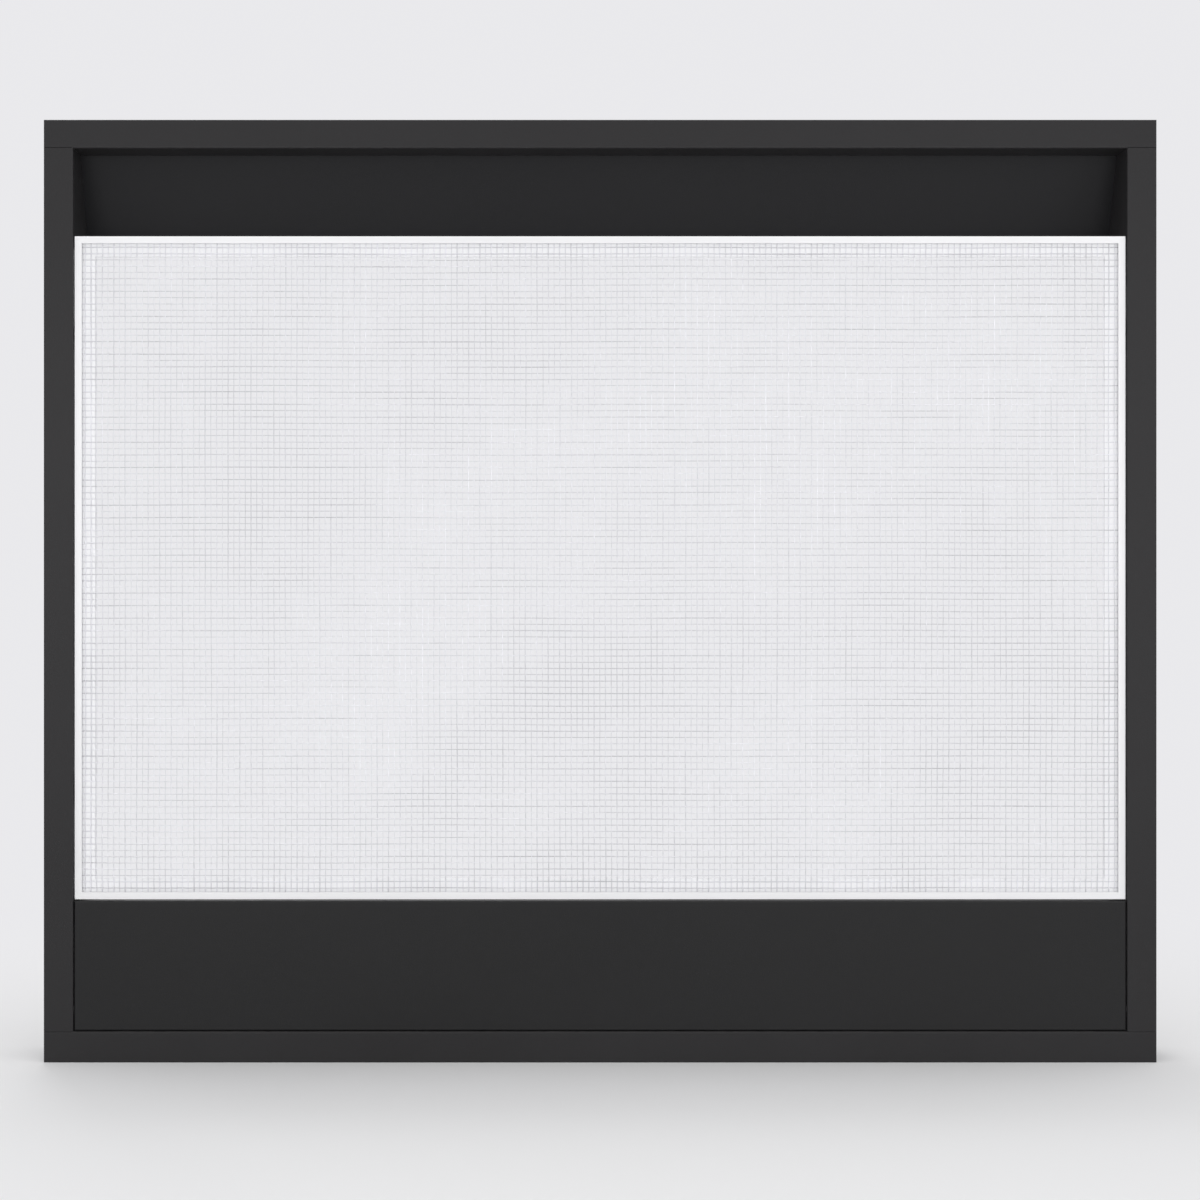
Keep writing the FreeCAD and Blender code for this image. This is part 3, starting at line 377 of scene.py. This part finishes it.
def channel_finish(name, stretch):
    """Pale satin metal brushed along the channel: pale and matte on the faces inside it as painted light
    against their shade, plainer metal at its back.
    """
    finish, tree, place = new_finish(name)
    lines = use_group(tree, brushed_lines, {
        "Position": place["Object"], "Stretch": stretch, "Cloud": CHANNEL_CLOUDS,
        "Roughness": CHANNEL_ROUGHNESS})
    depth = add(tree, "SeparateXYZ", {0: place["Object"]}).outputs["Y"]
    behind = ramp(tree, depth, *BACK_STARTS)
    inside = maths(tree, "SUBTRACT", ramp(tree, depth, *INSIDE_STARTS), behind)
    satin = blended(tree, lines["Value"], opaque(SATIN_DARK), opaque(SATIN_LIGHT))
    steel = blended(tree, lines["Value"], opaque(STEEL_DARK), opaque(STEEL_LIGHT))
    # The faces inside the channel take a pale matte tone: painted light over the shade between channel and
    # mesh
    colour = blended(tree, behind, blended(tree, inside, satin, opaque(PAINTED_LIGHT_INSIDE)), steel)
    shine = maths(tree, "MULTIPLY_ADD", inside, DULL_ROUGHNESS, lines["Roughness"])
    front_metal = maths(tree, "MULTIPLY_ADD", inside, -SATIN_METAL, SATIN_METAL)
    metal = maths(tree, "MULTIPLY_ADD", behind, STEEL_METAL - SATIN_METAL, front_metal)
    close_finish(tree, colour, shine, lines["Height"], CHANNEL_BUMP, Metallic=metal)
    return finish


def bloom_finish(name, first, second, grain, roughness, metallic, bump):
    """Clouded metal: zinc plate, bronze or ferrite."""
    finish, tree, place = new_finish(name)
    bloom = use_group(tree, metal_bloom, {
        "Position": place["Object"], "First": opaque(first), "Second": opaque(second), "Grain": grain,
        "Roughness": roughness})
    close_finish(tree, bloom["Color"], bloom["Roughness"], bloom["Height"], bump, Metallic=metallic)
    return finish


finishes = {
    "surround_coat": coat_finish(
        "charcoal_surround_coat", tone=(0.0225, 0.0217, 0.0227), roughness=0.46, mottle=0.32, dust=0.10,
        rectangles=(rectangle_of(surround_low, surround_high), rectangle_of(opening_low, opening_high))),
    # Hood: the same charcoal coat made darker, as painted shade for the recess under the top rail, whose
    # slope faces down
    "hood_coat": coat_finish(
        "charcoal_hood_coat_painted_shade", tone=(0.0120, 0.0120, 0.0132), roughness=0.58, mottle=0.30, dust=0.14),
    # Door: the same charcoal coat made darker, as painted shade for the lower part of the front, farther from
    # the light
    "door_coat": coat_finish(
        "charcoal_door_coat_painted_shade", tone=(0.0155, 0.0154, 0.0160), roughness=0.50, mottle=0.30, dust=0.10,
        rectangles=(rectangle_of(door_low, door_high),)),
    "rivet_steel": coat_finish(
        "blackened_rivet", tone=(0.035, 0.035, 0.036), roughness=0.42, mottle=0.25, dust=0.08),
    "catch_plastic": coat_finish(
        "moulded_catch", tone=(0.018, 0.018, 0.019), roughness=0.48, mottle=0.15, dust=0.10),
    "plated_steel": bloom_finish(
        "zinc_plate", first=(0.52, 0.53, 0.52), second=(0.70, 0.70, 0.68), grain=900.0,
        roughness=0.34, metallic=1.0, bump=0.05),
    "magnet": bloom_finish(
        "ferrite", first=(0.05, 0.05, 0.052), second=(0.10, 0.10, 0.10), grain=1500.0,
        roughness=0.62, metallic=0.0, bump=0.2),
    # Bush: bronze brown darkened well below the metal's own tone, as painted shade of the door gap it sits in
    "bush_bronze": bloom_finish(
        "sintered_bronze_painted_shade", first=(0.10, 0.07, 0.045), second=(0.19, 0.135, 0.08), grain=2600.0,
        roughness=0.45, metallic=1.0, bump=0.2),
    "wire": wire_finish(
        "upright_wire", dark=(0.60, 0.60, 0.62), light=(0.94, 0.94, 0.97), stretch=UPRIGHT_WIRES),
    "channel_steel": channel_finish("satin_channel_upright", stretch=BRUSHED_UPRIGHT),
}
level_wire = wire_finish("level_wire", dark=(0.50, 0.50, 0.52), light=(0.95, 0.95, 0.98), stretch=LEVEL_WIRES)
level_channel = channel_finish("satin_channel_level", stretch=BRUSHED_LEVEL)
LEVEL_PIECES = (
    "screen_top_channel", "screen_bottom_channel", "top_retaining_strip", "bottom_retaining_strip")

for subpart in frame["record"]["subparts"]:
    node = subpart["node"]
    finish = level_channel if node in LEVEL_PIECES else finishes[subpart["material_slot"]]
    for holder in frame["nodes"][node].material_slots:
        holder.material = finish


# Surfaces
def tube_faces(tubes, rings, sides):
    """Quads of many tubes: each ring's corner joins its neighbour and the next ring's."""
    tube, ring, side = np.meshgrid(np.arange(tubes), np.arange(rings - 1), np.arange(sides), indexing="ij")
    start = (tube * rings + ring) * sides
    turn = (side + 1) % sides
    walls = np.stack((start + side, start + turn, start + sides + turn, start + sides + side), axis=-1)
    return walls.reshape(-1, 4)


def end_faces(tubes, rings, sides):
    """The closing faces of many tubes, one at each end, looking outwards."""
    first = (np.arange(tubes) * rings * sides)[:, None]
    ring = np.arange(sides)[None, :]
    return np.concatenate((first + ring[:, ::-1], first + (rings - 1) * sides + ring))


def mesh_piece(name, points, face_sets, finish):
    """A smoothly shaded mesh object from points and arrays of faces, one array for each number of corners."""
    mesh = bpy.data.meshes.new(name)
    corners = np.concatenate([faces.ravel() for faces in face_sets])
    lengths = np.concatenate([np.full(len(faces), faces.shape[1]) for faces in face_sets])
    mesh.vertices.add(len(points))
    mesh.vertices.foreach_set("co", points.astype(np.float32).ravel())
    mesh.loops.add(len(corners))
    mesh.loops.foreach_set("vertex_index", corners.astype(np.int32))
    mesh.polygons.add(len(lengths))
    mesh.polygons.foreach_set("loop_start", (np.cumsum(lengths) - lengths).astype(np.int32))
    mesh.polygons.foreach_set("use_smooth", np.ones(len(lengths), dtype=bool))
    mesh.update(calc_edges=True)
    mesh.validate()
    mesh.materials.append(finish)
    piece = bpy.data.objects.new(name, mesh)
    bpy.context.scene.collection.objects.link(piece)
    return piece


def tube_piece(name, rings, finish):
    """Closed tubes from an array of rings: tube, ring, corner, coordinate."""
    shape = rings.shape[:3]
    return mesh_piece(name, rings.reshape(-1, 3), (tube_faces(*shape), end_faces(*shape)), finish)


# Woven wire of the screen
# Pitch of the wires, their mean radius, and by what share every second one is heavier
UPRIGHT_PITCH = 5.35 * MM
LEVEL_PITCH = 5.9 * MM
WIRE_RADIUS = 0.4 * MM
HEAVY_SHARE = 0.15
# Sides of a wire, its rings from crossing to crossing, and the pieces that the wires of one way make
WIRE_SIDES = 6
RINGS_PER_CROSSING = 2
WIRE_BUNDLES = 4
# Drift: its size, the lengths of its two waves along a wire and across the cloth, their shares and starts
WIRE_SWAY = 0.35 * MM
SLOW_ALONG = 0.47
SLOW_ACROSS = 0.83
SLOW_SHARE = 0.65
QUICK_ALONG = 0.171
QUICK_ACROSS = 0.39
QUICK_SHARE = 0.35
QUICK_START = 0.3
LEVEL_START = 0.21


def spread(low, high, pitch):
    """Places of the wires: as many as the pitch gives, each in the middle of its share of the width."""
    count = round((high - low) / pitch)
    return low + (np.arange(count) + 0.5) * (high - low) / count


def sway(along, across):
    """A wire's drift from its straight line: two long slow waves, each wire a little later than the last."""
    slow = np.sin(TAU * (along / SLOW_ALONG + across / SLOW_ACROSS))
    quick = np.sin(TAU * (along / QUICK_ALONG - across / QUICK_ACROSS + QUICK_START))
    return WIRE_SWAY * (SLOW_SHARE * slow + QUICK_SHARE * quick)


def crimp(along, crossings, number):
    """A wire's wave through the cloth: a cosine that turns over at each crossing, the next wire opposite."""
    step = crossings[1] - crossings[0]
    turn = np.cos(np.pi * (along - crossings[0]) / step)
    return np.where(number % 2 == 0, 1, -1) * turn


def wire_rings(centres, across, through):
    """Rings about each centre: the radius times the cosine across plus the sine through.

    Every second wire is heavier than the ones beside it."""
    angle = np.arange(WIRE_SIDES) * TAU / WIRE_SIDES
    ring = np.cos(angle)[:, None] * np.array(across) + np.sin(angle)[:, None] * np.array(through)
    heavy = np.where(np.arange(len(centres)) % 2 == 0, HEAVY_SHARE, -HEAVY_SHARE)
    radius = WIRE_RADIUS * (1 + heavy)
    return centres[:, :, None, :] + radius[:, None, None, None] * ring


def bundle_wires(name, centres, across, through, finish):
    """Wires side by side, gathered in a few pieces of about as many wires each."""
    bundles = np.array_split(wire_rings(centres, across, through), WIRE_BUNDLES)
    for number, rings in enumerate(bundles, start=1):
        piece = tube_piece(f"{name}_{number}", rings, finish)
        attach(piece, "screen")
        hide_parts("mesh_cloth")


def woven_screen():
    """Plain weave: upright and level wires wave by a wire's radius, opposite ways at each crossing."""
    low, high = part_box("mesh_cloth")
    wave = WIRE_RADIUS * (1 + HEAVY_SHARE)
    middle = (high.y + low.y) / 2
    upright = spread(low.x, high.x, UPRIGHT_PITCH)
    level = spread(low.z, high.z, LEVEL_PITCH)
    z = np.linspace(low.z, high.z, len(level) * RINGS_PER_CROSSING + 1)[None, :]
    x = upright[:, None] + sway(z, upright[:, None])
    y = middle + wave * crimp(z, level, np.arange(len(upright))[:, None])
    upright_centres = np.stack(np.broadcast_arrays(x, y, z), axis=-1)
    x = np.linspace(low.x, high.x, len(upright) * RINGS_PER_CROSSING + 1)[None, :]
    z = level[:, None] + sway(x, level[:, None] + LEVEL_START)
    y = middle - wave * crimp(x, upright, np.arange(len(level))[:, None])
    level_centres = np.stack(np.broadcast_arrays(x, y, z), axis=-1)
    bundle_wires("upright_wires", upright_centres, (1, 0, 0), (0, 1, 0), finishes["wire"])
    bundle_wires("level_wires", level_centres, (0, 1, 0), (0, 0, 1), level_wire)


woven_screen()


# Fasteners
# Digits that a place is rounded to, slack in finding the widest ring, and each one's further turn in radians
PLACE_DIGITS = 6
RING_SLACK = 0.01 * MM
NEXT_TURN = 0.7


def separate_solids(node):
    """The points of each solid of a node: points that share a triangle belong to one solid."""
    mesh = frame["nodes"][node].data
    points = np.empty(len(mesh.vertices) * 3)
    mesh.vertices.foreach_get("co", points)
    corners = np.empty(len(mesh.loops), dtype=np.int32)
    mesh.loops.foreach_get("vertex_index", corners)
    rounded_points = np.round(points.reshape(-1, 3), PLACE_DIGITS)
    places, label = np.unique(rounded_points, axis=0, return_inverse=True)
    triangles = label.ravel()[corners].reshape(-1, 3)
    owner = np.arange(len(places))
    settled = False
    while not settled:
        joined = owner.copy()
        np.minimum.at(joined, triangles, owner[triangles].min(axis=1)[:, None])
        settled = bool((joined == owner).all())
        owner = joined
    return [places[owner == one] for one in np.unique(owner)]


def fastener_seats(node):
    """For each fastener: the middle of its head's seat, the way its head looks and its length under the seat.

    Its axis is the one whose extent differs from the other two.
    Its seat is the widest ring that lies nearest its middle."""
    seats = []
    for points in separate_solids(node):
        low, high = points.min(axis=0), points.max(axis=0)
        middle = (low + high) / 2
        extent = high - low
        axis = int(np.argmax(np.abs(extent - np.median(extent))))
        radius = np.linalg.norm(np.delete(points - middle, axis, axis=1), axis=1)
        widest = points[radius > radius.max() - RING_SLACK][:, axis]
        seat = widest[np.argmin(np.abs(widest - middle[axis]))]
        looks = np.zeros(3)
        looks[axis] = np.sign(seat - middle[axis])
        centre = middle.copy()
        centre[axis] = seat
        tail = low if looks[axis] > 0 else high
        seats.append((centre, looks, abs(tail[axis] - seat)))
    return seats


def turned_rings(seats, radius, height, sides):
    """Turned shapes: each radius is carried round the seat's axis at its height.

    Each fastener is turned a little further than the one before it."""
    centre = np.array([seat[0] for seat in seats])[:, None, None, :]
    along = np.array([seat[1] for seat in seats])
    first = np.roll(along, 1, axis=1)
    second = np.cross(along, first)
    angle = np.arange(sides) * TAU / sides + np.arange(len(seats))[:, None] * NEXT_TURN
    spoke = np.cos(angle)[:, :, None] * first[:, None, :] + np.sin(angle)[:, :, None] * second[:, None, :]
    rise = height[None, :, :, None] * along[:, None, None, :]
    return centre + rise + radius[None, :, None, None] * spoke[:, None, :, :]


def rounded(start, end, steps):
    """A quarter of an ellipse, as radius and height: upright where it starts, level where it ends."""
    turn = np.linspace(0, TAU / 4, steps)
    radius = end[0] + (start[0] - end[0]) * np.cos(turn)
    height = start[1] + (end[1] - start[1]) * np.sin(turn)
    return np.stack((radius, height), axis=1)


def fastened(name, rings, finish, body, slot, *nodes):
    """A piece of turned shapes that rides on a body and stands for CAD nodes, if any."""
    piece = tube_piece(name, rings, finish)
    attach(piece, body)
    if nodes:
        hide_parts(*nodes)


# Blind rivet, each place a radius and a height over the seat, in millimetres
RIVET_SIDES = 20
RIVET_RIM = (3.20, 0.00)
DOME_FOOT = (3.20, 0.15)
DOME_TOP = (1.20, 1.10)
DOME_STEPS = 7
HOLE_EDGE = (0.96, 0.88)
HOLE_BOTTOM = (0.92, 0.45)
HOLE_STEPS = 4
# The same over the tail's end
TAIL_END = (1.20, 0.00)
BULB = (2.38, 1.45)
BULB_STEPS = 5
BULB_NECK = (1.60, 2.00)
NECK_STEPS = 4


def domed_rivets(node):
    """Blind rivets: a domed head with its mandrel's hole, a shank and a crimped bulb behind the sheets."""
    seats = fastener_seats(node)
    length = seats[0][2] / MM
    swelling = rounded(BULB, TAIL_END, BULB_STEPS)[::-1]
    tail = np.concatenate((swelling, rounded(BULB, BULB_NECK, NECK_STEPS)[1:])) - np.array((0.0, length))
    shank = (BULB_NECK[0], 0.0)
    dome = rounded(DOME_FOOT, DOME_TOP, DOME_STEPS)
    hole = rounded(HOLE_EDGE, DOME_TOP, HOLE_STEPS)[-2::-1]
    profile = np.concatenate((tail, (shank, RIVET_RIM), dome, hole, (HOLE_BOTTOM,))) * MM
    height = np.repeat(profile[:, 1:], RIVET_SIDES, axis=1)
    rings = turned_rings(seats, profile[:, 0], height, RIVET_SIDES)
    fastened(f"domed_{node}", rings, finishes["rivet_steel"], "surround", "rivet_steel", node)


# Pan-head screw, each place a radius and a height over the seat, in millimetres
SCREW_SIDES = 48
SCREW_RIM = (3.30, 0.00)
HEAD_SHOULDER = (3.30, 0.70)
HEAD_TOP = (1.40, 2.00)
HEAD_MIDDLE = (0.12, 2.00)
CROWN_STEPS = 8
TOP_STEPS = 6
SCREW_SHANK = 1.75
SCREW_POINT = 0.3
POINT_LENGTH = 1.6
RECESS_REACH = 2.1
RECESS_HALF_WIDTH = 0.46
RECESS_WALL = 0.12
RECESS_DEPTH = 1.15


def cross_recess(radius, angle):
    """Depth of the cross: full near an arm's middle line, less towards the arms' ends, nothing beyond."""
    beside = radius * np.minimum(np.abs(np.sin(angle)), np.abs(np.cos(angle)))
    arm = np.clip((RECESS_HALF_WIDTH - beside) / RECESS_WALL + 0.5, 0, 1)
    return arm * RECESS_DEPTH * np.clip(1 - (radius / RECESS_REACH) ** 4, 0, 1)


def catch_screws():
    """Pan-head screws: a turned head sunk by a cross, and a pointed shank."""
    seats = fastener_seats("catch_screws")
    length = seats[0][2] / MM
    shank = ((SCREW_POINT, -length), (SCREW_SHANK, POINT_LENGTH - length), (SCREW_SHANK, 0.0))
    crown = rounded(HEAD_SHOULDER, HEAD_TOP, CROWN_STEPS)
    top = np.linspace(HEAD_TOP, HEAD_MIDDLE, TOP_STEPS)[1:]
    profile = np.concatenate((shank, (SCREW_RIM,), crown, top))
    angle = np.arange(SCREW_SIDES) * TAU / SCREW_SIDES
    sink = np.where(profile[:, 1:] > 0, cross_recess(profile[:, :1], angle[None, :]), 0.0)
    height = (profile[:, 1:] - sink) * MM
    rings = turned_rings(seats, profile[:, 0] * MM, height, SCREW_SIDES)
    fastened("cross_head_screws", rings, finishes["plated_steel"], "surround", "plated_steel", "catch_screws")


# Spot weld, in millimetres: radius and height of the foot of its rim, the rim and the dished middle
WELD = np.array(((2.9, -0.30), (2.9, 0.02), (2.6, 0.10), (2.2, 0.09), (1.8, 0.03), (0.9, 0.02), (0.3, 0.02)))
WELD_SIDES = 16
WELD_PITCH = 86 * MM
WELD_INSET = 8 * MM
STIFFENER_FOOT = 5.0 * MM
STIFFENER_SHEET = 1.2 * MM
BACKWARD = np.array((0.0, 1.0, 0.0))


def weld_row(low, high, y, z):
    """Places of welds in a level row: as many as the pitch gives, evenly spread from end to end."""
    count = max(2, round((high - low) / WELD_PITCH) + 1)
    return [(x, y, z) for x in np.linspace(low, high, count)]


def spot_welds(name, places, finish, body, slot):
    """Shallow dished rings, pressed by the welding tips, on sheets that look to the back."""
    seats = [(place, BACKWARD, 0.0) for place in places]
    profile = WELD * MM
    height = np.repeat(profile[:, 1:], WELD_SIDES, axis=1)
    fastened(name, turned_rings(seats, profile[:, 0], height, WELD_SIDES), finish, body, slot)


def stiffener_welds():
    """Welds along both feet of the door's stiffener."""
    low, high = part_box("door_stiffener")
    places = []
    for z in (low.z + STIFFENER_FOOT, high.z - STIFFENER_FOOT):
        places += weld_row(low.x + WELD_INSET, high.x - WELD_INSET, low.y + STIFFENER_SHEET, z)
    spot_welds("stiffener_welds", places, finishes["door_coat"], "access_door", "door_coat")


def corner_plate_welds():
    """Three welds on each corner plate: in its corner and near both ends."""
    places = []
    for level, up in (("upper", -1), ("lower", 1)):
        for side, out in (("left", -1), ("right", 1)):
            low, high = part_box(f"{level}_{side}_corner_plate")
            x = high.x if out > 0 else low.x
            z = high.z if up < 0 else low.z
            far = high.x - low.x - WELD_INSET
            for along, upward in ((WELD_INSET, WELD_INSET), (far, WELD_INSET), (WELD_INSET, far)):
                places.append((x - out * along, high.y, z + up * upward))
    spot_welds("corner_plate_welds", places, finishes["channel_steel"], "screen", "channel_steel")


for rivets in ("mid_rail_rivets", "hood_rivets", "hood_corner_rivets", "bracket_rivets"):
    domed_rivets(rivets)
catch_screws()
stiffener_welds()
corner_plate_welds()


# Studio
WHITE = (1.0, 1.0, 1.0)
BACKDROP = (0.82, 0.818, 0.84)
ROOM_LIGHT = 0.62
FLOOR_COLOUR = (0.86, 0.86, 0.865)
FLOOR_HALF = 8.0
FLOOR_NEAR = 0.3
FLOOR_FAR = 1.1


def seen_rays(tree):
    """One for rays that show the backdrop: from the camera, off a mirror or through glass."""
    path = add(tree, "LightPath", {}).outputs
    shown = maths(tree, "MAXIMUM", path["Is Camera Ray"], path["Is Glossy Ray"])
    return maths(tree, "MAXIMUM", shown, path["Is Transmission Ray"])


def studio_world():
    """Plain light from all round; what shows of it is the pale backdrop colour."""
    world = bpy.data.worlds.new("studio")
    world.use_nodes = True
    tree = world.node_tree
    tree.nodes.clear()
    light = add(tree, "Background", {"Color": opaque(WHITE), "Strength": ROOM_LIGHT})
    shown = add(tree, "Background", {"Color": opaque(BACKDROP), "Strength": 1.0})
    mixed = add(tree, "MixShader", {0: seen_rays(tree), 1: light.outputs[0], 2: shown.outputs[0]})
    add(tree, "OutputWorld", {"Surface": mixed.outputs[0]})
    bpy.context.scene.world = world


def studio_floor():
    """A flat square floor that fades into the backdrop colour away from the object."""
    finish, tree, place = new_finish("studio_floor")
    reach = add(tree, "VectorMath", {0: place["Object"]}, operation="LENGTH").outputs["Value"]
    share = maths(tree, "MULTIPLY", ramp(tree, reach, FLOOR_NEAR, FLOOR_FAR), seen_rays(tree))
    matte = add(tree, "BsdfDiffuse", {"Color": opaque(FLOOR_COLOUR)})
    glow = add(tree, "Emission", {"Color": opaque(BACKDROP), "Strength": 1.0})
    mixed = add(tree, "MixShader", {0: share, 1: matte.outputs[0], 2: glow.outputs[0]})
    add(tree, "OutputMaterial", {"Surface": mixed.outputs[0]})
    corners = np.array(((-1, -1, 0), (1, -1, 0), (1, 1, 0), (-1, 1, 0))) * FLOOR_HALF
    mesh_piece("studio_floor", corners, (np.arange(4)[None, :],), finish)


def softbox(name, place, aim, width, height, watts):
    """A rectangular lamp that faces a point and isn't itself seen."""
    data = bpy.data.lights.new(name, "AREA")
    data.shape = "RECTANGLE"
    data.size = width
    data.size_y = height
    data.energy = watts
    lamp = bpy.data.objects.new(name, data)
    lamp.location = place
    lamp.rotation_euler = (Vector(aim) - Vector(place)).to_track_quat("-Z", "Y").to_euler()
    lamp.visible_camera = False
    bpy.context.scene.collection.objects.link(lamp)


def studio_lamps():
    """Four lamps in front, one behind and one above."""
    softbox("front_light", place=(-0.05, -2.2, 0.75), aim=(0.0, face, 0.45), width=2.2, height=1.2, watts=5.2)
    softbox("left_light", place=(-0.95, -1.8, 0.62), aim=(-0.45, face, 0.5), width=0.7, height=1.0, watts=5.9)
    softbox(
        "near_right_light", place=(0.85, -1.8, 0.62), aim=(0.45, face, 0.5), width=0.7, height=1.0, watts=5.5)
    softbox("right_light", place=(2.1, -1.2, 1.1), aim=(0.2, face, 0.4), width=1.2, height=1.2, watts=5.0)
    softbox("back_light", place=(-0.8, 2.2, 1.7), aim=(0.0, 0.0, 0.4), width=1.8, height=1.2, watts=22.0)
    softbox("top_light", place=(0.0, -0.15, 2.3), aim=(0.0, -0.03, 0.4), width=1.6, height=1.0, watts=6.5)


# Camera, in metres, with its sensor in millimetres
FRAME_WIDTH = 1.1208
FRAME_MIDDLE = -0.0002
CAMERA_REACH = 1.7
CAMERA_HEIGHT = 0.4322
CAMERA_SIDE = -0.07
SENSOR = 36.0


def square_camera():
    """A level camera square to the face, a little to the left; a small shift sets the frame beside it."""
    data = bpy.data.cameras.new("front_camera")
    data.sensor_width = SENSOR
    data.lens = SENSOR * CAMERA_REACH / FRAME_WIDTH
    data.shift_x = (FRAME_MIDDLE - CAMERA_SIDE) / FRAME_WIDTH
    camera = bpy.data.objects.new("front_camera", data)
    camera.location = (CAMERA_SIDE, face - CAMERA_REACH, CAMERA_HEIGHT)
    camera.rotation_euler = (TAU / 4, 0, 0)
    bpy.context.scene.collection.objects.link(camera)
    bpy.context.scene.camera = camera


studio_world()
studio_floor()
studio_lamps()
square_camera()
bpy.context.scene.view_settings.view_transform = "Standard"
